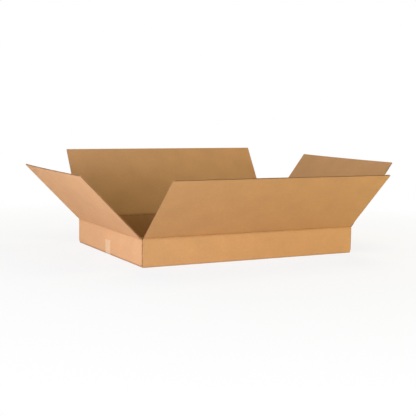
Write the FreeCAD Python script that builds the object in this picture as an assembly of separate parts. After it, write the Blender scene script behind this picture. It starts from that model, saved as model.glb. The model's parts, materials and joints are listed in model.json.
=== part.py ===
import FreeCAD, Part
import math
import os

from FreeCAD import Vector

# Driving dimensions
# Millimetres and degrees. X runs along the long walls, Y along the end walls, Z is up.
# The origin is the centre of the underside.

box_length = 860.0  # outside, over the end walls
box_width = 618.0  # outside, over the long walls
wall_height = 99.0  # crease of the long walls above the underside
board = 4.0  # thickness of the corrugated board
inside_fold = 0.5  # inside radius of a folded crease

crushed = 1.2  # thickness of the board where a top crease is scored
crush_band = 2.0  # crushed strip beside the crease line, on each side of it
bevel = 2.5  # run over which the board rises from crushed to full thickness
hinge_gap = 0.5  # free space between a flap's root and its wall's top edge

corner_slot = 5.0  # a panel's crease stops this far from the box's corner
flap_side_gap = 0.5  # a flap is narrower than its crease by this, on each side
slot_depth = 5.0  # a top slot runs this far below the long walls' crease
foot_relief = 0.7  # a bottom slot runs this far above the end walls' lower fold
seam_gap = 2.0  # opening between two flaps that meet in the middle
layer_gap = 0.3  # between the two layers of the bottom
lid_gap = 0.5  # between the two layers of the closed top

front_lean = 46.5  # each flap's rest angle, outwards from upright
back_lean = 32.0
left_lean = 45.0
right_lean = 38.0

tab_width = 35.0  # the strip that joins the two ends of the blank
tab_taper = 9.0  # how much lower the strip's free side is at its top and its foot
glue_line = 0.1  # between the strip and the wall that it is glued to
joint_gap = 1.5  # the back wall's cut end stops this far short of the box's end

flute_pitch = 7.8  # one wave of the corrugated medium
liner = 0.35  # thickness of each flat face of the board
medium = 0.3  # thickness of the wavy sheet between them
flute_mouth = 12.0  # how far each flute is open behind a flap's cut edge
side_hollow = 2.0  # depth of the half flute that a flap's side cut lays open
side_web = 0.5  # least board between that hollow and the first whole flute

tape_width = 48.0
tape_thickness = 0.15
tape_glue = 0.02  # between the tape and the board
tape_rise = 54.0  # top of the tape on the end walls, above the underside
tape_bed_side = 0.5  # the tape's bed is wider than the tape by this, on each side

overcut = 2.0  # how far a cut runs past the faces that it opens

# Sizes that follow from them

outside_fold = inside_fold + board
half_length = box_length / 2
half_width = box_width / 2
end_height = wall_height - board - lid_gap  # the end walls' crease
end_floor = board + layer_gap  # underside of the end walls' bottom flaps
flap_reach = (box_width - board - seam_gap) / 2  # crease line to free edge
full_board = crush_band + bevel  # the board has its whole thickness from here on
slot_floor = wall_height - slot_depth
corner_foot = end_floor + outside_fold + foot_relief
tab_inner = half_width - 2 * board - glue_line
long_span = half_length - corner_slot
end_span = half_width - corner_slot
tab_span = half_width - board - glue_line - outside_fold  # stops at the fold of the tab

Z = Vector(0, 0, 1)


# Outlines

def rounded_path(corners):
    """Edges through (x, y, radius) corners, with an arc wherever the radius is above zero."""
    edges = []
    at = Vector(corners[0][0], corners[0][1], 0)
    for before, corner, after in zip(corners, corners[1:], corners[2:]):
        point = Vector(corner[0], corner[1], 0)
        back = (Vector(before[0], before[1], 0) - point).normalize()
        ahead = (Vector(after[0], after[1], 0) - point).normalize()
        radius = corner[2]
        if radius > 0:
            half = back.getAngle(ahead) / 2
            run = radius / math.tan(half)
            middle = point + (back + ahead).normalize() * (radius / math.sin(half) - radius)
            start = point + back * run
            end = point + ahead * run
            if (start - at).Length > 1e-6:
                edges.append(Part.LineSegment(at, start).toShape())
            edges.append(Part.Arc(start, middle, end).toShape())
            at = end
        else:
            edges.append(Part.LineSegment(at, point).toShape())
            at = point
    last = Vector(corners[-1][0], corners[-1][1], 0)
    if (last - at).Length > 1e-6:
        edges.append(Part.LineSegment(at, last).toShape())
    return edges


def face(corners):
    """A flat face inside a closed ring of corners. The first corner is a sharp one."""
    return Part.Face(Part.Wire(rounded_path(corners + [corners[0]])))


def beside(corners, distance):
    """The corners of the path that runs to the right of this one, at that distance."""
    points = [Vector(x, y, 0) for x, y, radius in corners]
    sides = [(b - a).normalize().cross(Z) for a, b in zip(points, points[1:])]
    moved = [points[0] + sides[0] * distance]
    for point, one, other in zip(points[1:], sides, sides[1:]):
        moved.append(point + (one + other) * (distance / (1 + one.dot(other))))
    moved.append(points[-1] + sides[-1] * distance)
    return moved


def folded_band(inner, thickness):
    """The section of a sheet that is folded to the left, given by its inner side's corners."""
    outer = [
        (point.x, point.y, radius + thickness if radius > 0 else 0)
        for point, (x, y, radius) in zip(beside(inner, thickness), inner)
    ]
    return face(inner + outer[::-1])


def upright(section, low, high):
    """Stands a section up, its x along X and its y along Z, and draws it from low to high along Y."""
    section.rotate(Vector(0, 0, 0), Vector(1, 0, 0), 90)
    section.translate(Vector(0, low, 0))
    return section.extrude(Vector(0, high - low, 0))


def merged(shapes):
    """One clean solid from pieces of the same sheet."""
    whole = shapes[0].fuse(shapes[1:]).removeSplitter()
    return whole.Solids[0] if len(whole.Solids) == 1 else whole


def block(low, high):
    """A box between two opposite corners."""
    size = Vector(*high) - Vector(*low)
    return Part.makeBox(size.x, size.y, size.z, Vector(*low))


# Board panels beside a scored crease
# Each is made as on the +X side, its crease line on the Y axis, running up from it.

def scored_panel(nose, length, low, high):
    """A panel with a full-round crushed edge at height nose, bevelled up to the whole board."""
    thin = crushed / 2
    thick = board / 2
    section = face([
        (-thin, crush_band, 0),
        (-thick, full_board, 0),
        (-thick, length, 0),
        (thick, length, 0),
        (thick, full_board, 0),
        (thin, crush_band, 0),
        (thin, nose, thin),
        (-thin, nose, thin),
    ])
    return upright(section, low, high)


def flute_mouths(low, high):
    """The open ends of the flutes: prisms with their base on one liner and their tip at the other."""
    core = board / 2 - liner
    slope = 2 * core / (flute_pitch / 2)
    web = medium * math.sqrt(1 + slope * slope) / slope / 2
    base = flute_pitch / 2 - web
    tip = core - web * slope
    margin = side_hollow + side_web
    count = int((high - low - 2 * margin) / (flute_pitch / 2)) - 1
    first = (low + high) / 2 - (count - 1) * flute_pitch / 4
    prisms = []
    for number in range(count):
        middle = first + number * flute_pitch / 2
        side = 1 if number % 2 else -1
        corners = [
            Vector(side * core, middle - base, flap_reach - flute_mouth),
            Vector(side * core, middle + base, flap_reach - flute_mouth),
            Vector(-side * tip, middle, flap_reach - flute_mouth),
        ]
        triangle = Part.Face(Part.makePolygon(corners + [corners[0]]))
        prisms.append(triangle.extrude(Vector(0, 0, flute_mouth + overcut)))
    return prisms


def side_hollows(low, high):
    """The half flutes that the two side cuts lay open, from the bevel to the free edge."""
    core = board / 2 - liner
    top = flap_reach + overcut
    return [
        block((-core, low - overcut, full_board), (core, low + side_hollow, top)),
        block((-core, high - side_hollow, full_board), (core, high + overcut, top)),
    ]


def top_flap(low, high):
    """A flap that stands upright on its crease line, with the board's cut edges on three sides."""
    low = low + flap_side_gap
    high = high - flap_side_gap
    hollows = Part.makeCompound(flute_mouths(low, high) + side_hollows(low, high))
    return scored_panel(-crushed / 2, flap_reach, low, high).cut(hollows)


def wall_and_bottom(outward, floor, crease, reach, low, high):
    """A wall from its scored top down to its lower fold, and the bottom flap beyond that fold."""
    inner = [
        (outward - reach, floor + board, 0),
        (outward - board, floor + board, inside_fold),
        (outward - board, crease - full_board, 0),
    ]
    lower = upright(folded_band(inner, board), low, high)
    upper = scored_panel(crushed / 2 + hinge_gap, full_board + board, low, high)
    upper.rotate(Vector(0, 0, 0), Vector(0, 1, 0), 180)
    upper.translate(Vector(outward - board / 2, 0, crease))
    return [lower, upper]


def turned(shape, angle):
    """Turns a shape made for the +X side about Z to the side where it belongs."""
    shape.rotate(Vector(0, 0, 0), Z, angle)
    return shape


# The folded blank: walls, corner posts, bottom flaps and the glued strip

def corner_posts():
    """The walls in plan, from the back wall's cut end round to the strip inside it."""
    inner = [
        (half_length - joint_gap, half_width - board, 0),
        (board - half_length, half_width - board, inside_fold),
        (board - half_length, board - half_width, inside_fold),
        (half_length - board, board - half_width, inside_fold),
        (half_length - board, tab_inner, inside_fold),
        (half_length - board - tab_width, tab_inner, 0),
    ]
    ring = folded_band(inner, board)
    ring.translate(Vector(0, 0, corner_foot))
    ring = ring.extrude(Vector(0, 0, slot_floor - corner_foot))
    above = slot_floor + overcut
    over_long = block((-long_span, -box_width, wall_height - full_board), (long_span, box_width, above))
    over_left = block((-box_length, -end_span, end_height - full_board), (0, end_span, above))
    over_right = block((0, -end_span, end_height - full_board), (box_length, tab_span, above))
    return ring.cut([over_long, over_left, over_right]).cut(strip_tapers())


def strip_tapers():
    """The wedges cut from the glued strip's top and foot, towards its free side."""
    fold = half_length - outside_fold
    free = half_length - board - tab_width - overcut
    near = tab_inner - overcut
    depth = half_width - board - glue_line / 2 - near
    wedges = []
    for level, drop in ((slot_floor, -tab_taper), (corner_foot, tab_taper)):
        outside = level - math.copysign(overcut, drop)
        corners = [
            Vector(fold, near, level),
            Vector(free, near, level + drop),
            Vector(free, near, outside),
            Vector(fold, near, outside),
        ]
        wedge = Part.Face(Part.makePolygon(corners + [corners[0]]))
        wedges.append(wedge.extrude(Vector(0, depth, 0)))
    return wedges


def carton_body():
    bottom_reach = half_width - seam_gap / 2
    end_reach = flap_reach + board / 2
    pieces = [corner_posts()]
    for angle in (90, 270):
        long_side = wall_and_bottom(half_width, 0, wall_height, bottom_reach, -long_span, long_span)
        pieces += [turned(piece, angle) for piece in long_side]
    pieces += wall_and_bottom(half_length, end_floor, end_height, end_reach, -end_span, tab_span)
    left_side = wall_and_bottom(half_length, end_floor, end_height, end_reach, -end_span, end_span)
    pieces += [turned(piece, 180) for piece in left_side]
    bed_half = tape_width / 2 + tape_bed_side
    bed_top = tape_thickness + tape_glue
    bed = block((-half_length, -bed_half, -overcut), (half_length, bed_half, bed_top))
    return merged(pieces).cut(bed)


# The tape along the bottom seam and up both end walls

def bottom_tape():
    """It leaves the bottom flaps' ends, slants out to the end walls' lower folds and climbs the walls."""
    turn_x = long_span + tape_glue
    turn_z = tape_thickness
    fold_x = half_length - outside_fold
    fold_z = end_floor + outside_fold
    wall_x = half_length + tape_glue
    fold_radius = outside_fold + tape_glue
    to_fold = Vector(fold_x - turn_x, 0, fold_z - turn_z)
    lean = math.atan2(to_fold.x, to_fold.z) + math.asin(fold_radius / to_fold.Length)
    meet_z = turn_z + (wall_x - turn_x) / math.tan(lean)
    inner = [
        (-wall_x, tape_rise, 0),
        (-wall_x, meet_z, fold_radius),
        (-turn_x, turn_z, 0),
        (turn_x, turn_z, 0),
        (wall_x, meet_z, fold_radius),
        (wall_x, tape_rise, 0),
    ]
    return upright(folded_band(inner, tape_thickness), -tape_width / 2, tape_width / 2)


# Placing and writing

def placed_flap(low, high, lean, outward, crease, angle):
    flap = top_flap(low, high)
    flap.rotate(Vector(0, 0, 0), Vector(0, 1, 0), lean)
    flap.translate(Vector(outward - board / 2, 0, crease))
    return turned(flap, angle)


nodes = {
    "carton_body": carton_body(),
    "front_major_flap": placed_flap(-long_span, long_span, front_lean, half_width, wall_height, 270),
    "back_major_flap": placed_flap(-long_span, long_span, back_lean, half_width, wall_height, 90),
    "left_minor_flap": placed_flap(-end_span, end_span, left_lean, half_length, end_height, 180),
    "right_minor_flap": placed_flap(-end_span, tab_span, right_lean, half_length, end_height, 0),
    "bottom_tape": bottom_tape(),
}

os.makedirs("parts", exist_ok=True)
for name, shape in nodes.items():
    shape.exportStep("parts/" + name + ".step")
    print(name, len(shape.Solids), shape.isValid(), round(shape.Volume))
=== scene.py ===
import json
import math

import bpy
import numpy as np
from mathutils import Matrix, Vector


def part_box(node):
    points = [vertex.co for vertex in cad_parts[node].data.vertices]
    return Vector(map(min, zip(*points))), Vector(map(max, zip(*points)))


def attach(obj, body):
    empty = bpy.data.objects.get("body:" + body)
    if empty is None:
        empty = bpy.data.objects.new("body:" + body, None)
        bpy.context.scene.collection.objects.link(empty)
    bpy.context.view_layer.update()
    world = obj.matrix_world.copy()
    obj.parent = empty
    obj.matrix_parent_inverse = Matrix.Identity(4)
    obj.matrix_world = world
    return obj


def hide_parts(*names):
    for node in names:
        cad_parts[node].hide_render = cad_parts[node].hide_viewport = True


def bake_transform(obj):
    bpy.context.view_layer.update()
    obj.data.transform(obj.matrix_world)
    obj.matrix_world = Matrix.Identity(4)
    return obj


# A shallow shipping box, made from one sheet of single-wall corrugated board, with its four top
# flaps open. Metres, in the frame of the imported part: +X along the long walls, +Z up.

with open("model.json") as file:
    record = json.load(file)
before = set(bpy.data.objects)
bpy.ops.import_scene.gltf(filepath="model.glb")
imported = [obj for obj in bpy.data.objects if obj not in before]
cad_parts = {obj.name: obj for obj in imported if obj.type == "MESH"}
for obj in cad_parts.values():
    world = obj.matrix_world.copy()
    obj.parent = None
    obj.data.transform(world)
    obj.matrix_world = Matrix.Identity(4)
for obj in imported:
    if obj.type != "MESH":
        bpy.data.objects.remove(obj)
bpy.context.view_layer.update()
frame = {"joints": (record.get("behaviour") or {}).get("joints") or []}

# The folded blank: walls, corner posts, bottom flaps and the glued strip
# Kraft liners on a wavy medium. The knife leaves the flutes open at the ends of the bottom flaps,
# and the creasing wheels press the top of each wall flat where its flap is hinged.

body_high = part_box("carton_body")[1]
tape_low, tape_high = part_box("bottom_tape")
hinges = {joint["child"]: joint for joint in frame["joints"]}

half_length = body_high.x
half_width = body_high.y
long_crease = hinges["front_flap"]["pos_m"][2]
end_crease = hinges["left_flap"]["pos_m"][2]
board = 2 * (half_width + hinges["front_flap"]["pos_m"][1])
side_gap = 0.0005
long_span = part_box("front_major_flap")[1].x + side_gap
end_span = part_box("left_minor_flap")[1].y + side_gap
tab_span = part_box("right_minor_flap")[1].y + side_gap

fold_steps = 6
fold_angle = 90 / fold_steps
inside_fold = 0.0005
outside_fold = inside_fold + board
middle_fold = inside_fold + board / 2
layer_gap = 0.0003
end_floor = board + layer_gap
foot_relief = 0.0007
corner_foot = end_floor + outside_fold + foot_relief
slot_depth = 0.005
slot_floor = long_crease - slot_depth
seam_gap = 0.002
bottom_reach = half_width - seam_gap / 2
end_reach = 0.308
joint_gap = 0.0015
glue_line = 0.0001
tab_inner = half_width - 2 * board - glue_line
tab_width = 0.035
tab_taper = 0.009

crushed = 0.0012
crush_band = 0.002
bevel_run = 0.0025
full_board = crush_band + bevel_run
bevel_steps = (0.25, 0.5, 0.75)
wall_stop = 0.0011

liner = 0.00035
medium = 0.0003
core = board / 2 - liner
flute_pitch = 0.0078
wave_height = 0.00156
uneven_pitch = 0.012
uneven_height = 0.02
groove_depth = 0.002
wall_rows = [corner_foot, 0.022, 0.042, 0.062, 0.078, end_crease - full_board, slot_floor]

# How dark the paper is made at each fold, partly rubbing and partly painted shade in the crease: 1 is a
# well-rubbed crease, and 2 is as dark as it gets.
long_wear_and_shade = 0.8
# The back crease lies in the shaded inside of the box and gets twice the front's darkening, most of it
# painted shade.
back_wear_and_shade = 1.6
end_wear_and_shade = 0.3
# The corner posts get a dark line of painted shade down each corner, on top of their rubbing.
corner_wear_and_shade = 2.4
wear_and_shade_reach = 0.003

rng = np.random.default_rng(8476)


def kraft(name, colour, mottle, relief):
    """Unbleached paper: cloudy tone, fibres along the sheet, dark specks, faint flute stripes that are
    partly glue lines and partly painted washboard shade, and fold darkening that is partly painted shade.
    """
    material = bpy.data.materials.new(name)
    material.use_nodes = True
    nodes = material.node_tree.nodes
    links = material.node_tree.links
    shader = nodes["Principled BSDF"]
    shader.inputs["Roughness"].default_value = 0.8
    shader.inputs["Specular IOR Level"].default_value = 0.25

    place = nodes.new("ShaderNodeAttribute")
    place.attribute_name = "blank"

    def noise(scale, detail, stretch=(1, 1, 1)):
        mapping = nodes.new("ShaderNodeMapping")
        mapping.inputs["Scale"].default_value = [scale * part for part in stretch]
        links.new(place.outputs["Vector"], mapping.inputs["Vector"])
        texture = nodes.new("ShaderNodeTexNoise")
        texture.inputs["Scale"].default_value = 1
        texture.inputs["Detail"].default_value = detail
        links.new(mapping.outputs["Vector"], texture.inputs["Vector"])
        return texture.outputs["Fac"]

    def ramp(value, *stops):
        node = nodes.new("ShaderNodeValToRGB")
        node.color_ramp.elements[0].position = stops[0][0]
        node.color_ramp.elements[0].color = stops[0][1]
        node.color_ramp.elements[1].position = stops[-1][0]
        node.color_ramp.elements[1].color = stops[-1][1]
        for at, shade in stops[1:-1]:
            node.color_ramp.elements.new(at).color = shade
        links.new(value, node.inputs["Fac"])
        return node.outputs["Color"]

    def multiply(one, other, share):
        node = nodes.new("ShaderNodeMix")
        node.data_type = "RGBA"
        node.blend_type = "MULTIPLY"
        node.inputs[0].default_value = share
        links.new(one, node.inputs[6])
        links.new(other, node.inputs[7])
        return node.outputs[2]

    white = (1, 1, 1, 1)
    dark = [channel * (1 - mottle) for channel in colour] + [1]
    light = [channel * (1 + mottle) for channel in colour] + [1]
    clouds = ramp(noise(11, 3), (0.3, dark), (0.7, light))
    patches = ramp(noise(140, 4), (0.3, (0.93, 0.925, 0.915, 1)), (0.7, white))
    fibres = noise(1, 4, (420, 3000, 3000))
    streaks = ramp(fibres, (0.32, (0.8, 0.78, 0.74, 1)), (0.62, white))
    bands = ramp(noise(1, 3, (9, 520, 520)), (0.3, (0.94, 0.935, 0.925, 1)), (0.7, white))
    specks = ramp(noise(1500, 1), (0.24, (0.5, 0.42, 0.34, 1)), (0.31, white))
    tone = multiply(clouds, patches, 0.8)
    tone = multiply(tone, streaks, 0.5)
    tone = multiply(tone, bands, 0.6)
    tone = multiply(tone, specks, 0.7)

    # Faint stripes across the flutes: partly the glue lines and partly painted shade of the washboard
    # ripples.
    stripes = nodes.new("ShaderNodeTexWave")
    stripes.bands_direction = "X"
    stripes.inputs["Scale"].default_value = math.pi / 10 / flute_pitch
    stripes.inputs["Distortion"].default_value = 0.35
    stripes.inputs["Detail"].default_value = 1
    links.new(place.outputs["Vector"], stripes.inputs["Vector"])
    glue_lines_and_shade = ramp(stripes.outputs["Fac"], (0, (0.955, 0.95, 0.94, 1)), (1, white))
    tone = multiply(tone, glue_lines_and_shade, 0.2)

    # Darker at the folds: partly rubbing of the paper and partly painted shade in the creases and round
    # the corners, broken up by noise.
    fold = nodes.new("ShaderNodeAttribute")
    fold.attribute_name = "fold"
    rubbed_and_shaded = nodes.new("ShaderNodeMath")
    rubbed_and_shaded.operation = "MULTIPLY"
    uneven = ramp(noise(220, 3), (0.25, (0.175, 0.175, 0.175, 1)), (0.7, (0.5, 0.5, 0.5, 1)))
    links.new(fold.outputs["Fac"], rubbed_and_shaded.inputs[0])
    links.new(uneven, rubbed_and_shaded.inputs[1])
    worn_and_shaded = ramp(rubbed_and_shaded.outputs[0], (0, white), (0.5, (0.8, 0.75, 0.69, 1)), (1, (0.45, 0.37, 0.26, 1)))
    links.new(multiply(tone, worn_and_shaded, 1), shader.inputs["Base Color"])

    washboard = nodes.new("ShaderNodeBump")
    washboard.inputs["Strength"].default_value = 0.35
    washboard.inputs["Distance"].default_value = 0.0001
    links.new(stripes.outputs["Fac"], washboard.inputs["Height"])
    bump = nodes.new("ShaderNodeBump")
    bump.inputs["Strength"].default_value = relief
    bump.inputs["Distance"].default_value = 0.0003
    links.new(fibres, bump.inputs["Height"])
    links.new(washboard.outputs["Normal"], bump.inputs["Normal"])
    links.new(bump.outputs["Normal"], shader.inputs["Normal"])
    return material


outer_liner = kraft("kraft_outer_liner", (0.69, 0.391, 0.164), 0.035, 0.35)
inner_liner = kraft("kraft_inner_liner", (0.472, 0.271, 0.12), 0.05, 0.4)
cut_edge = kraft("kraft_cut_edge", (0.5, 0.29, 0.13), 0.08, 0.6)


def flute_columns(low, high, steps, grooves):
    """Places across the flutes, and there the medium's height in the board and its upright thickness.

    Steps columns make one flute. The first and last lie on the cut sides, and with grooves the next
    two hold the half flute that the knife opened.
    """
    sides = [0, groove_depth, groove_depth + medium] if grooves else [0]
    room = high - low - 2 * sides[-1]
    flutes = int(room / flute_pitch - 0.4)
    first = (low + high - flutes * flute_pitch) / 2
    turns = (np.arange(flutes * steps) + 0.5) / steps
    shift = rng.normal(0, uneven_pitch, flutes).repeat(steps)
    scale = (1 + rng.normal(0, uneven_height, flutes)).repeat(steps)
    wave = wave_height * scale * np.sin(2 * math.pi * (turns + shift))
    slope = 2 * math.pi * wave_height / flute_pitch * np.cos(2 * math.pi * turns)
    web = medium * np.sqrt(1 + slope**2)
    flat = np.zeros(len(sides))
    left, right = low + np.array(sides), high - np.array(sides[::-1])
    at = np.concatenate([left, first + turns * flute_pitch, right])
    wave = np.concatenate([flat, wave, flat])
    web = np.concatenate([flat + medium, web, flat + medium])
    top = np.clip(wave + web / 2, medium - core, core)
    bottom = np.clip(wave - web / 2, -core, core - medium)
    return at, bottom, top


def plain_columns(places):
    """Columns where the board is cut along its flutes or isn't cut open."""
    at = np.array(places, float)
    return at, np.full(len(at), -medium / 2), np.full(len(at), medium / 2)


class Board:
    """Sheets of board as cells: liner, flute, medium, flute, liner, over columns and rows.

    A sheet is laid out from its middle surface. Only faces between a solid and an open cell are
    made, so sheets that share their border's points grow together, and a flute is a real hole.
    """

    def __init__(self):
        self.points = []
        self.flat = []
        self.folds = []
        self.faces = []
        self.materials = []
        self.size = 0

    def sheet(self, middle, normal, press, columns, across, along, fold=0, open_flutes=None, grooves=None):
        """Adds one sheet. Across and along are its places on the flat blank, for the paper's grain."""
        bottom, top = columns[1:]
        face, core_face = np.full(len(top), board / 2), np.full(len(top), core)
        level = np.stack([-face, -core_face, bottom, top, core_face, face], 1)
        level = level[:, None, :] * press[:, :, None]
        points = middle[:, :, None, :] + normal[:, :, None, :] * level[..., None]
        count, rows = middle.shape[:2]
        solid = np.ones((count - 1, rows - 1, 5), bool)
        if open_flutes is not None:
            solid[..., 1] &= ~open_flutes
            solid[..., 3] &= ~open_flutes
        if grooves is not None:
            solid[..., 1:4] &= ~grooves[..., None]
        index = self.size + np.arange(count * rows * 6).reshape(count, rows, 6)
        start = points[:-1, :-1, 2]
        turn = np.cross(points[1:, :-1, 2] - start, points[:-1, 1:, 2] - start)
        mirrored = (turn * normal[:-1, :-1]).sum() < 0

        def emit(low, high, quads, material):
            found = low != high
            chosen = quads[found]
            back = ~low[found] ^ mirrored
            chosen[back] = chosen[back][:, ::-1]
            self.faces.append(chosen)
            self.materials.append(np.broadcast_to(material, found.shape)[found])

        pad = np.pad(solid, ((1, 1), (0, 0), (0, 0)))
        quads = np.stack([index[:, :-1, :-1], index[:, 1:, :-1], index[:, 1:, 1:], index[:, :-1, 1:]], -1)
        emit(pad[:-1], pad[1:], quads, 2)
        pad = np.pad(solid, ((0, 0), (1, 1), (0, 0)))
        quads = np.stack([index[:-1, :, :-1], index[:-1, :, 1:], index[1:, :, 1:], index[1:, :, :-1]], -1)
        emit(pad[:, :-1], pad[:, 1:], quads, 2)
        pad = np.pad(solid, ((0, 0), (0, 0), (1, 1)))
        quads = np.stack([index[:-1, :-1], index[1:, :-1], index[1:, 1:], index[:-1, 1:]], -1)
        emit(pad[..., :-1], pad[..., 1:], quads, np.array([1, 2, 2, 2, 2, 0]))

        flat = np.stack(np.broadcast_arrays(across[..., None], along[..., None], level), -1)
        self.points.append(points.reshape(-1, 3))
        self.flat.append(flat.reshape(-1, 3))
        self.folds.append(np.broadcast_to(fold, (count, rows)).ravel().repeat(6))
        self.size += points.size // 3

    def object(self, name):
        """Welds points that share a place, drops faces inside the board and makes the piece."""
        points = np.concatenate(self.points)
        microns = np.round(points * 1e6)
        first, inverse = np.unique(microns, axis=0, return_index=True, return_inverse=True)[1:]
        faces = inverse.reshape(-1)[np.concatenate(self.faces)]
        materials = np.concatenate(self.materials)
        ring = np.roll(faces, -1, 1) != faces
        opposite = (faces[:, 0] != faces[:, 2]) & (faces[:, 1] != faces[:, 3])
        sound = (ring.sum(1) >= 3) & opposite
        faces, materials, ring = faces[sound], materials[sound], ring[sound]
        key = np.sort(np.where(ring, faces, -1), 1)
        twin, count = np.unique(key, axis=0, return_inverse=True, return_counts=True)[1:]
        single = count[twin.reshape(-1)] == 1
        faces, materials, ring = faces[single], materials[single], ring[single]
        used, faces = np.unique(faces, return_inverse=True)
        faces = faces.reshape(-1, 4)
        mesh = bpy.data.meshes.new(name)
        corners = [face[kept].tolist() for face, kept in zip(faces, ring)]
        mesh.from_pydata(points[first][used].tolist(), [], corners)
        mesh.polygons.foreach_set("material_index", materials.astype(np.int32))
        for material in (outer_liner, inner_liner, cut_edge):
            mesh.materials.append(material)
        flat = np.concatenate(self.flat)[first][used].astype(np.float32)
        place = mesh.attributes.new("blank", "FLOAT_VECTOR", "POINT")
        place.data.foreach_set("vector", flat.ravel())
        fold = mesh.attributes.new("fold", "FLOAT", "POINT")
        fold.data.foreach_set("value", np.concatenate(self.folds)[first][used].astype(np.float32))
        mesh.shade_smooth()
        mesh.set_sharp_from_angle(angle=math.radians(32))
        piece = bpy.data.objects.new(name, mesh)
        bpy.context.scene.collection.objects.link(piece)
        return piece


def pressed(distance):
    """The board's thickness beside a crease, as a share of the whole board's."""
    rise = np.clip((np.abs(distance) - crush_band) / (full_board - crush_band), 0, 1)
    return (crushed + (board - crushed) * rise**2 * (3 - 2 * rise)) / board


def near_crease(distance, wear_and_shade):
    """How dark the paper is made at that distance from the crease: rubbing by the creasing wheels, and
    painted shade in the crease.
    """
    edge = np.clip(1 - np.abs(np.abs(distance) - full_board) / wear_and_shade_reach, 0, 1)
    return wear_and_shade * (edge + (np.abs(distance) < full_board)) / 2


def wall_profile(outward, floor, crease, reach, floor_places):
    """Rows from a bottom flap's free edge out to the fold and up the wall to its scored top.

    Gives each row's distance outward, height, normal, thickness share and run along the blank.
    """
    fold = outward - outside_fold
    rows = [(outward - reach + place, floor + board / 2, 0, -1, 1) for place in floor_places]
    rows += [(fold, floor + board / 2, 0, -1, 1)]
    for step in range(1, fold_steps + 1):
        turn = math.radians(fold_angle * step)
        rows.append((
            fold + middle_fold * math.sin(turn),
            floor + outside_fold - middle_fold * math.cos(turn),
            math.sin(turn),
            -math.cos(turn),
            1,
        ))
    heights = [z for z in wall_rows if z < crease - full_board] + [crease - full_board]
    heights += [crease - crush_band - share * bevel_run for share in bevel_steps[::-1]]
    heights += [crease - crush_band, crease - wall_stop]
    for height in heights:
        rows.append((outward - board / 2, height, 1, 0, float(pressed(crease - height))))
    rows = np.array(rows)
    step = np.hypot(np.diff(rows[:, 0]), np.diff(rows[:, 1]))
    run = np.concatenate([[0], np.cumsum(step)])
    return rows, run - run[-1]


def lay_wall(rows, columns, direction, outward):
    """Lays a wall and its bottom flap. Direction runs along the wall, outward away from the box."""
    along = np.array(direction, float)
    out = np.array(outward, float)
    up = np.array((0.0, 0.0, 1.0))
    at = columns[0]
    middle = (
        at[:, None, None] * along
        + rows[None, :, 0, None] * out
        + rows[None, :, 1, None] * up
    )
    normal = np.broadcast_to(rows[:, 2, None] * out + rows[:, 3, None] * up, middle.shape)
    press = np.broadcast_to(rows[:, 4], middle.shape[:2]).copy()
    return middle, normal, press


def fold_wear_and_shade(rows, crease, wear_and_shade):
    """How dark each row of a wall's profile is made, by rubbing and painted shade: its lower fold and its
    top crease.
    """
    lower = 4 * (rows[:, 2] * rows[:, 3]) ** 2
    return np.maximum(lower, near_crease(crease - rows[:, 1], wear_and_shade) * (rows[:, 2] == 1))


blank = Board()

# Long walls with the two outer bottom flaps. Their seam is taped, so it needs no open flutes, and
# the tape lies in a shallow bed that it has pressed into the board.
bed_depth = 0.00017
bed_side = 0.0005
bed_edge = 0.0002
bed_end = (tape_high.y - tape_low.y) / 2 + bed_side - seam_gap / 2
outer_rows = [0, bed_end, bed_end + bed_edge, 0.08, 0.16, 0.24]
long_columns = 35
rows, run = wall_profile(half_width, 0, long_crease, bottom_reach, outer_rows)
for sign, wear_and_shade in ((-1, long_wear_and_shade), (1, back_wear_and_shade)):
    columns = plain_columns(np.linspace(-long_span, long_span, long_columns))
    middle, normal, press = lay_wall(rows, columns, (1, 0, 0), (0, sign, 0))
    middle[:, :2, 2] += bed_depth / 2
    press[:, :2] = 1 - bed_depth / board
    across = columns[0][:, None] * sign
    blank.sheet(middle, normal, press, columns, across, run, fold_wear_and_shade(rows, long_crease, wear_and_shade))

# End walls with the two inner bottom flaps, whose free ends show the flutes inside the box. The
# wall's two sides are set in beside the crease, where the long walls' flaps need room.
inner_rows = [0, 0.03, 0.1, 0.2]
micron = 1e-6
for sign, near, far in ((-1, -end_span, end_span), (1, -end_span, tab_span)):
    rows, run = wall_profile(half_length, end_floor, end_crease, end_reach, inner_rows)
    columns = flute_columns(near, far, steps=8, grooves=False)
    middle, normal, press = lay_wall(rows, columns, (0, 1, 0), (sign, 0, 0))
    bevelled = rows[:, 1] > end_crease - full_board + micron
    middle[0, bevelled, 1] += side_gap
    middle[-1, bevelled, 1] -= side_gap
    across = columns[0][:, None] * sign
    mouths = np.zeros((len(columns[0]) - 1, len(run) - 1), bool)
    mouths[1:-1, :1] = True
    worn_and_shaded = fold_wear_and_shade(rows, end_crease, end_wear_and_shade)
    blank.sheet(middle, normal, press, columns, across, run, worn_and_shaded, mouths)


# Corner posts, where the walls run on round the corners between the slots, and the glued strip
def post_path(corner, first, last, turn_from):
    """Places and normals of the board's middle surface round one corner, from wall to wall."""
    centre = np.array(corner, float)
    start, end = np.array(first, float), np.array(last, float)
    places, normals = [start], []
    for step in range(fold_steps + 1):
        angle = math.radians(turn_from + fold_angle * step)
        places.append(centre + middle_fold * np.array([math.cos(angle), math.sin(angle)]))
        normals.append((math.cos(angle), math.sin(angle)))
    places.append(end)
    normals = [normals[0]] + normals + [normals[-1]]
    return np.array(places), np.array(normals, float)


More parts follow.
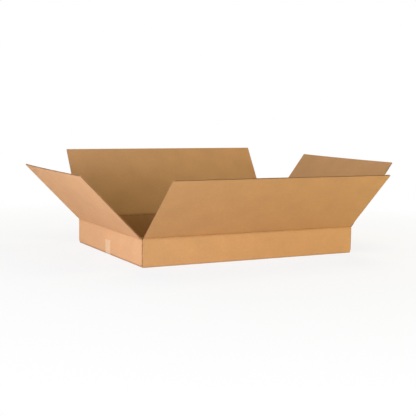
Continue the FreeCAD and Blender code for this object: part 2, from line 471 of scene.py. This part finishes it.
def lay_post(places, normals, taper=0, groove=None):
    """Lays upright board along a path. Taper cuts its top and foot back; groove is its open cell."""
    run = np.concatenate([[0], np.cumsum(np.hypot(*np.diff(places, axis=0).T))])
    share = (np.array(wall_rows) - corner_foot) / (slot_floor - corner_foot)
    low = np.full(len(places), corner_foot) + taper
    high = np.full(len(places), slot_floor) - taper
    height = low[:, None] + (high - low)[:, None] * share
    level = np.broadcast_to(places[:, None, :], (*height.shape, 2))
    middle = np.concatenate([level, height[..., None]], -1)
    normal = np.zeros_like(middle)
    normal[..., :2] = normals[:, None, :]
    press = np.ones(height.shape)
    opened = np.zeros((len(run) - 1, len(share) - 1), bool)
    if groove is not None:
        opened[groove] = True
    # Painted shade and rubbing, darkest halfway round the corner.
    turned = np.abs(normals[:, 0] * normals[:, 1]) * 2
    worn_and_shaded = corner_wear_and_shade * np.sqrt(turned[:, None])
    blank.sheet(middle, normal, press, plain_columns(run), run[:, None], height, worn_and_shaded, grooves=opened)


fold_x = half_length - outside_fold
fold_y = half_width - outside_fold
wall_x = half_length - board / 2
wall_y = half_width - board / 2
lay_post(*post_path((-fold_x, -fold_y), (-wall_x, -end_span), (-long_span, -wall_y), 180))
lay_post(*post_path((fold_x, -fold_y), (long_span, -wall_y), (wall_x, -end_span), 270))
lay_post(*post_path((-fold_x, fold_y), (-long_span, wall_y), (-wall_x, end_span), 90))

# The back wall's cut end, close to the corner
cut = half_length - joint_gap
stop = np.array([(long_span, wall_y), (cut - groove_depth, wall_y), (cut, wall_y)])
lay_post(stop, np.array([(0.0, 1.0)] * 3), groove=1)

# The strip inside the back wall, with its top and foot cut back towards the free side
tab_y = tab_inner + board / 2
tab_root = 0.01
tab_start = (fold_x - tab_root, tab_y)
places, normals = post_path((fold_x, tab_inner - inside_fold), (wall_x, tab_span), tab_start, 0)
free = half_length - board - tab_width
places = np.vstack([places, [(free + groove_depth, tab_y), (free, tab_y)]])
normals = np.vstack([normals, [(0.0, 1.0)] * 2])
taper = np.clip((fold_x - places[:, 0]) / (fold_x - free), 0, 1) * tab_taper
lay_post(places, normals, taper, groove=len(places) - 2)

folded_blank = blank.object("folded_blank")
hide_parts("carton_body")
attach(folded_blank, "carton")


# The four top flaps
# The same sheet beyond the upper creases. Each flap's free edge is a knife cut across the flutes,
# and its two sides are cuts along them, so they show a groove between the liners.

mouth_depth = 0.03
root_clear = 0.0008
root_share = 0.8
side_cells = 3
free_curl = 0.002
curl_across = 2.2
curl_along = 1.6
# The back flap's root is darkened less than the front flap's, painted lighter so that its crease reads as
# a lit ridge above the dark inside.
back_flap_wear_and_shade = 0.3 * long_wear_and_shade


def top_flap(name, node, body, outward, along, wear_and_shade, curl):
    """One flap at its rest lean. Curl is how far its two free corners bend back over the box."""
    joint = hinges[body]
    low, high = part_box(node)
    out = np.array(outward, float)
    side = np.array(along, float)
    lean = math.radians(joint["range_deg"][1] - 90)
    rise = out * math.sin(lean) + np.array((0, 0, 1)) * math.cos(lean)
    face = out * math.cos(lean) - np.array((0, 0, 1)) * math.sin(lean)
    reach = (high.z - joint["pos_m"][2] - board / 2 * math.sin(lean)) / math.cos(lean)
    axis = 1 if abs(along[1]) else 0
    near, far = low[axis], high[axis]
    columns = flute_columns(near, far, steps=12, grooves=True)
    bevel = [crush_band + share * bevel_run for share in (0, *bevel_steps, 1)]
    spread = [0.012, 0.05, 0.1, 0.15, 0.2, 0.245]
    run = np.array([root_clear] + bevel + spread + [reach - mouth_depth, reach])
    share = run / reach
    place = (columns[0] - near) / (far - near) * 2 - 1
    bend = -curl * (np.abs(place)[:, None] ** curl_across) * share[None, :] ** curl_along
    middle = (
        np.array(joint["pos_m"], float) * (1 - np.abs(side))
        + columns[0][:, None, None] * side
        + run[None, :, None] * rise
        + bend[..., None] * face
    )
    normal = np.broadcast_to(face, middle.shape)
    press = np.broadcast_to(pressed(run), bend.shape).copy()
    press[:, 0] = crushed / board * root_share
    mouths = np.zeros((len(place) - 1, len(run) - 1), bool)
    mouths[side_cells:-side_cells, -1] = True
    grooves = np.zeros_like(mouths)
    grooves[[0, -1], len(bevel):] = True
    flap = Board()
    across = columns[0][:, None]
    flap.sheet(middle, normal, press, columns, across, run, near_crease(run, wear_and_shade), mouths, grooves)
    piece = flap.object(name)
    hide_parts(node)
    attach(piece, body)


top_flap("front_flap_board", "front_major_flap", "front_flap", (0, -1, 0), (1, 0, 0), long_wear_and_shade, 0)
top_flap("back_flap_board", "back_major_flap", "back_flap", (0, 1, 0), (1, 0, 0), back_flap_wear_and_shade, 0)
top_flap("left_flap_board", "left_minor_flap", "left_flap", (-1, 0, 0), (0, 1, 0), end_wear_and_shade, free_curl)
top_flap("right_flap_board", "right_minor_flap", "right_flap", (1, 0, 0), (0, 1, 0), end_wear_and_shade, free_curl)


# The creases
# Between two rows of creasing the board is pressed to two liners and a flattened medium. That thin
# paper bends when the flap turns, so each strip is a hinge of its own.

strip_run = 0.003
strip_half = 0.00065
bend_radius = 0.0012
wrinkle_depth = 0.00006
wrinkle_step = 0.008


def crease(name, body, outward, along, near, far, wear_and_shade):
    """The strip of thin paper between a wall and its flap, bent to the flap's rest lean."""
    joint = hinges[body]
    out = np.array(outward, float)
    side = np.array(along, float)
    up = np.array((0.0, 0.0, 1.0))
    lean = math.radians(joint["range_deg"][1] - 90)
    origin = np.array(joint["pos_m"], float) * (1 - np.abs(side))
    tangent = bend_radius * math.tan(lean / 2)
    turns = np.linspace(0, lean, fold_steps + 1)
    path = [(0.0, -strip_run, 0.0), (0.0, -2 * bend_radius, 0.0)]
    for turn in turns:
        path.append((bend_radius * (1 - math.cos(turn)), bend_radius * math.sin(turn) - tangent, turn))
    for step in (2 * bend_radius, strip_run):
        path.append((step * math.sin(lean), step * math.cos(lean), lean))
    path = np.array(path)
    places = np.linspace(near, far, int((far - near) / wrinkle_step) + 2)
    wrinkle = rng.normal(0, wrinkle_depth, (len(places), len(path)))
    wrinkle[:, [0, -1]] = 0
    centre = (
        origin
        + places[:, None, None] * side
        + path[None, :, 0, None] * out
        + path[None, :, 1, None] * up
    )
    normal = np.cos(path[:, 2])[:, None] * out - np.sin(path[:, 2])[:, None] * up
    centre = centre + wrinkle[..., None] * normal
    ring = [centre - normal * strip_half, centre + normal * strip_half]
    points = np.stack(ring, 2)
    count, rows = centre.shape[:2]
    index = np.arange(count * rows * 2).reshape(count, rows, 2)
    faces, materials = [], []

    def quads(a, b, c, d, material):
        found = np.stack([a, b, c, d], -1).reshape(-1, 4)
        faces.extend(found.tolist())
        materials.extend([material] * len(found))

    quads(index[:-1, :-1, 1], index[1:, :-1, 1], index[1:, 1:, 1], index[:-1, 1:, 1], 0)
    quads(index[:-1, 1:, 0], index[1:, 1:, 0], index[1:, :-1, 0], index[:-1, :-1, 0], 1)
    quads(index[0, :-1, 0], index[0, :-1, 1], index[0, 1:, 1], index[0, 1:, 0], 2)
    quads(index[-1, 1:, 0], index[-1, 1:, 1], index[-1, :-1, 1], index[-1, :-1, 0], 2)
    quads(index[:-1, 0, 0], index[1:, 0, 0], index[1:, 0, 1], index[:-1, 0, 1], 2)
    quads(index[:-1, -1, 1], index[1:, -1, 1], index[1:, -1, 0], index[:-1, -1, 0], 2)
    if np.dot(np.cross(side, up), out) < 0:
        faces = [face[::-1] for face in faces]
    mesh = bpy.data.meshes.new(name)
    mesh.from_pydata(points.reshape(-1, 3).tolist(), [], faces)
    mesh.polygons.foreach_set("material_index", materials)
    for material in (outer_liner, inner_liner, cut_edge):
        mesh.materials.append(material)
    faces_at = [-strip_half, strip_half]
    flat = np.stack(np.broadcast_arrays(places[:, None, None], path[None, :, 1, None], faces_at), -1)
    place = mesh.attributes.new("blank", "FLOAT_VECTOR", "POINT")
    place.data.foreach_set("vector", flat.astype(np.float32).ravel())
    fold = mesh.attributes.new("fold", "FLOAT", "POINT")
    # The whole strip is darkened: rubbing and painted shade in the crease.
    fold.data.foreach_set("value", np.full(len(mesh.vertices), wear_and_shade, np.float32))
    mesh.shade_smooth()
    mesh.set_sharp_from_angle(angle=math.radians(50))
    piece = bpy.data.objects.new(name, mesh)
    bpy.context.scene.collection.objects.link(piece)
    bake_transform(piece)


long_end = long_span - side_gap
near_end = end_span - side_gap
tab_end = tab_span - side_gap
crease("front_crease", "front_flap", (0, -1, 0), (1, 0, 0), -long_end, long_end, long_wear_and_shade)
crease("back_crease", "back_flap", (0, 1, 0), (1, 0, 0), -long_end, long_end, back_wear_and_shade)
crease("left_crease", "left_flap", (-1, 0, 0), (0, 1, 0), -near_end, near_end, end_wear_and_shade)
crease("right_crease", "right_flap", (1, 0, 0), (0, 1, 0), -near_end, tab_end, end_wear_and_shade)


# The tape
# One strip of clear film tape with pale glue, from one end wall under the box to the other. The
# dispenser's toothed blade leaves both ends serrated, and the film is slightly glossy.

film_thickness = 0.00015
film = tape_low.z + film_thickness
tape_half = (tape_high.y - tape_low.y) / 2
tape_out = tape_high.x - film / 2
tooth = 0.003
tooth_depth = 0.0009

tape_film = bpy.data.materials.new("tape_film")
tape_film.use_nodes = True
nodes = tape_film.node_tree.nodes
links = tape_film.node_tree.links
shader = nodes["Principled BSDF"]
shader.inputs["Roughness"].default_value = 0.3
shader.inputs["Specular IOR Level"].default_value = 0.5
place = nodes.new("ShaderNodeAttribute")
place.attribute_name = "blank"


def tape_noise(scale, detail, low, high):
    """A grey ramp over noise, scaled by (along, across, through) the tape."""
    mapping = nodes.new("ShaderNodeMapping")
    mapping.inputs["Scale"].default_value = scale
    texture = nodes.new("ShaderNodeTexNoise")
    texture.inputs["Scale"].default_value = 1
    texture.inputs["Detail"].default_value = detail
    ramp = nodes.new("ShaderNodeMapRange")
    ramp.inputs["From Min"].default_value = low
    ramp.inputs["From Max"].default_value = high
    links.new(place.outputs["Vector"], mapping.inputs["Vector"])
    links.new(mapping.outputs["Vector"], texture.inputs["Vector"])
    links.new(texture.outputs["Fac"], ramp.inputs["Value"])
    return ramp.outputs["Result"]


def tape_mix(share, one, other):
    node = nodes.new("ShaderNodeMix")
    node.data_type = "RGBA"
    links.new(share, node.inputs[0])
    for socket, colour in ((node.inputs[6], one), (node.inputs[7], other)):
        if isinstance(colour, tuple):
            socket.default_value = colour
        else:
            links.new(colour, socket)
    return node.outputs[2]


haze = tape_noise((45, 45, 45), 4, 0.3, 0.7)
glue = tape_mix(haze, (0.64, 0.412, 0.183, 1), (0.735, 0.502, 0.24, 1))
lines = tape_noise((5, 900, 900), 2, 0.55, 0.8)
glue = tape_mix(lines, glue, (0.79, 0.587, 0.32, 1))
bubbles = tape_noise((420, 420, 420), 1, 0.66, 0.72)
glue = tape_mix(bubbles, glue, (0.83, 0.644, 0.383, 1))
links.new(glue, shader.inputs["Base Color"])
dents = nodes.new("ShaderNodeBump")
dents.inputs["Strength"].default_value = 0.3
dents.inputs["Distance"].default_value = 0.0003
links.new(haze, dents.inputs["Height"])
ridges = nodes.new("ShaderNodeBump")
ridges.inputs["Strength"].default_value = 0.2
ridges.inputs["Distance"].default_value = 0.0001
links.new(lines, ridges.inputs["Height"])
links.new(dents.outputs["Normal"], ridges.inputs["Normal"])
links.new(ridges.outputs["Normal"], shader.inputs["Normal"])

fold_middle = outside_fold + (tape_high.x - half_length) - film / 2
turn = Vector((fold_x - long_span, 0, end_floor + outside_fold - film / 2))
lean = math.atan2(turn.x, turn.z) + math.asin(fold_middle / turn.length)
level_points = 12
wall_points = 9
line = [(x, film / 2, 0.0, -1.0) for x in np.linspace(0, long_span, level_points)]
for step in range(fold_steps + 1):
    angle = -lean + lean * step / fold_steps
    line.append((
        fold_x + fold_middle * math.cos(angle),
        end_floor + outside_fold + fold_middle * math.sin(angle),
        math.cos(angle),
        math.sin(angle),
    ))
heights = np.linspace(end_floor + outside_fold, tape_high.z - tooth_depth, wall_points)[1:]
line += [(tape_out, z, 1.0, 0.0) for z in heights]
line.append((tape_out, tape_high.z, 1.0, 0.0))
line = np.array(line)
# Where the film lifts off the level run, its normal is between those of the two runs.
line[level_points - 1, 2:] = (line[level_points, 2] / 2, -0.9)
across = np.arange(-tape_half, tape_half + tooth / 4, tooth / 2)
mirrored = line[::-1] * (-1, 1, -1, 1)
strip = np.vstack([mirrored[:-1], line])
height = np.broadcast_to(strip[:, 1], (len(across), len(strip))).copy()
height[1::2, [0, -1]] -= tooth_depth
points = np.zeros((len(across), len(strip), 2, 3))
for layer, offset in enumerate((-film / 2, film / 2)):
    points[:, :, layer, 0] = strip[:, 0] + strip[:, 2] * offset
    points[:, :, layer, 1] = across[:, None]
    points[:, :, layer, 2] = height + strip[:, 3] * offset
count, rows = points.shape[:2]
index = np.arange(count * rows * 2).reshape(count, rows, 2)
faces = []
for a, b, c, d in (
    (index[:-1, :-1, 1], index[:-1, 1:, 1], index[1:, 1:, 1], index[1:, :-1, 1]),
    (index[:-1, :-1, 0], index[1:, :-1, 0], index[1:, 1:, 0], index[:-1, 1:, 0]),
    (index[0, :-1, 0], index[0, 1:, 0], index[0, 1:, 1], index[0, :-1, 1]),
    (index[-1, :-1, 0], index[-1, :-1, 1], index[-1, 1:, 1], index[-1, 1:, 0]),
    (index[:-1, 0, 0], index[:-1, 0, 1], index[1:, 0, 1], index[1:, 0, 0]),
    (index[:-1, -1, 0], index[1:, -1, 0], index[1:, -1, 1], index[:-1, -1, 1]),
):
    faces.extend(np.stack([a, b, c, d], -1).reshape(-1, 4).tolist())
mesh = bpy.data.meshes.new("packing_tape")
mesh.from_pydata(points.reshape(-1, 3).tolist(), [], faces)
mesh.materials.append(tape_film)
run = np.concatenate([[0], np.cumsum(np.hypot(*np.diff(strip[:, :2], axis=0).T))])
flat = np.stack(np.broadcast_arrays(run[None, :, None], across[:, None, None], [0, film]), -1)
film_place = mesh.attributes.new("blank", "FLOAT_VECTOR", "POINT")
film_place.data.foreach_set("vector", flat.astype(np.float32).ravel())
mesh.shade_smooth()
mesh.set_sharp_from_angle(angle=math.radians(40))
packing_tape = bpy.data.objects.new("packing_tape", mesh)
bpy.context.scene.collection.objects.link(packing_tape)
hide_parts("bottom_tape")
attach(packing_tape, "carton")


# Floor, light and camera
# A plain pale floor that keeps the box's soft shadow. The light is cool and low from the left, and
# warm from the front, from above and from behind, as in the photograph.

floor_drop = 0.0002
floor_mesh = bpy.data.meshes.new("floor")
floor_mesh.from_pydata([(-12, -12, 0), (12, -12, 0), (12, 12, 0), (-12, 12, 0)], [], [(0, 1, 2, 3)])
floor = bpy.data.objects.new("floor", floor_mesh)
floor.location.z = -floor_drop
bpy.context.scene.collection.objects.link(floor)

paper = bpy.data.materials.new("floor_white")
paper.use_nodes = True
nodes = paper.node_tree.nodes
links = paper.node_tree.links
shader = nodes["Principled BSDF"]
shader.inputs["Base Color"].default_value = (0.78, 0.78, 0.78, 1)
shader.inputs["Roughness"].default_value = 0.9
glow = nodes.new("ShaderNodeEmission")
glow.inputs["Color"].default_value = (1, 1, 1, 1)
glow.inputs["Strength"].default_value = 1
mix = nodes.new("ShaderNodeMixShader")
rays = nodes.new("ShaderNodeLightPath")
spot = nodes.new("ShaderNodeTexCoord")
length = nodes.new("ShaderNodeVectorMath")
length.operation = "LENGTH"
fade = nodes.new("ShaderNodeMapRange")
fade.inputs["From Min"].default_value = 0.6
fade.inputs["From Max"].default_value = 1.8
fade.inputs["To Min"].default_value = 0.85
fade.inputs["To Max"].default_value = 1
share = nodes.new("ShaderNodeMath")
share.operation = "MULTIPLY"
links.new(spot.outputs["Object"], length.inputs[0])
links.new(length.outputs["Value"], fade.inputs["Value"])
links.new(fade.outputs["Result"], share.inputs[0])
links.new(rays.outputs["Is Camera Ray"], share.inputs[1])
links.new(share.outputs[0], mix.inputs["Fac"])
links.new(shader.outputs["BSDF"], mix.inputs[1])
links.new(glow.outputs["Emission"], mix.inputs[2])
links.new(mix.outputs["Shader"], nodes["Material Output"].inputs["Surface"])
floor_mesh.materials.append(paper)

world = bpy.data.worlds.new("studio")
bpy.context.scene.world = world
world.use_nodes = True
nodes = world.node_tree.nodes
links = world.node_tree.links
room = nodes["Background"]
room.inputs["Color"].default_value = (1, 1, 1, 1)
room.inputs["Strength"].default_value = 0.08
backdrop = nodes.new("ShaderNodeBackground")
backdrop.inputs["Color"].default_value = (1, 1, 1, 1)
backdrop.inputs["Strength"].default_value = 1
rays = nodes.new("ShaderNodeLightPath")
mix = nodes.new("ShaderNodeMixShader")
links.new(rays.outputs["Is Camera Ray"], mix.inputs["Fac"])
links.new(room.outputs["Background"], mix.inputs[1])
links.new(backdrop.outputs["Background"], mix.inputs[2])
links.new(mix.outputs["Shader"], nodes["World Output"].inputs["Surface"])


def soft_light(name, place, aim, size, power, tint):
    lamp = bpy.data.lights.new(name, "AREA")
    lamp.shape = "RECTANGLE"
    lamp.size, lamp.size_y = size
    lamp.energy = power
    lamp.color = tint
    piece = bpy.data.objects.new(name, lamp)
    piece.location = place
    piece.rotation_euler = (Vector(aim) - Vector(place)).to_track_quat("-Z", "Y").to_euler()
    bpy.context.scene.collection.objects.link(piece)


box_middle = (0, 0, 0.15)
soft_light("left_window", (-3.2, -1.2, 0.9), box_middle, (2.4, 1.6), 56, (0.63, 0.74, 1))
soft_light("left_low", (-3.0, -1.2, 0.4), box_middle, (2.4, 0.7), 75, (0.77, 0.74, 1))
soft_light("front_window", (1.4, -3.4, 0.8), box_middle, (3.0, 1.0), 66, (1, 0.93, 0.66))
soft_light("ceiling", (0.5, -0.2, 1.7), box_middle, (1.0, 1.0), 14.3, (1, 0.87, 0.55))
soft_light("back_wall", (0.5, 3.0, 2.2), box_middle, (3.0, 1.6), 48, (1, 0.87, 0.6))

azimuth = math.radians(-27.897)
elevation = math.radians(6.385)
roll = math.radians(0.917)
distance = 3.46771
target = Vector((-0.02063, 0, 0.153856))
away = Vector((
    math.cos(elevation) * math.sin(azimuth),
    -math.cos(elevation) * math.cos(azimuth),
    math.sin(elevation),
))
right = (-away).cross(Vector((0, 0, 1))).normalized()
up = right.cross(-away)
sensor = 36
photo_width = 416
focal_pixels = 906.028
camera_data = bpy.data.cameras.new("camera")
camera_data.sensor_width = sensor
camera_data.lens = focal_pixels / photo_width * sensor
camera = bpy.data.objects.new("camera", camera_data)
bpy.context.scene.collection.objects.link(camera)
turned_right = math.cos(roll) * right + math.sin(roll) * up
turned_up = math.cos(roll) * up - math.sin(roll) * right
eye = target + away * distance
camera.matrix_world = Matrix((
    (turned_right.x, turned_up.x, away.x, eye.x),
    (turned_right.y, turned_up.y, away.y, eye.y),
    (turned_right.z, turned_up.z, away.z, eye.z),
    (0, 0, 0, 1),
))
bpy.context.scene.camera = camera
bpy.context.scene.view_settings.view_transform = "Standard"
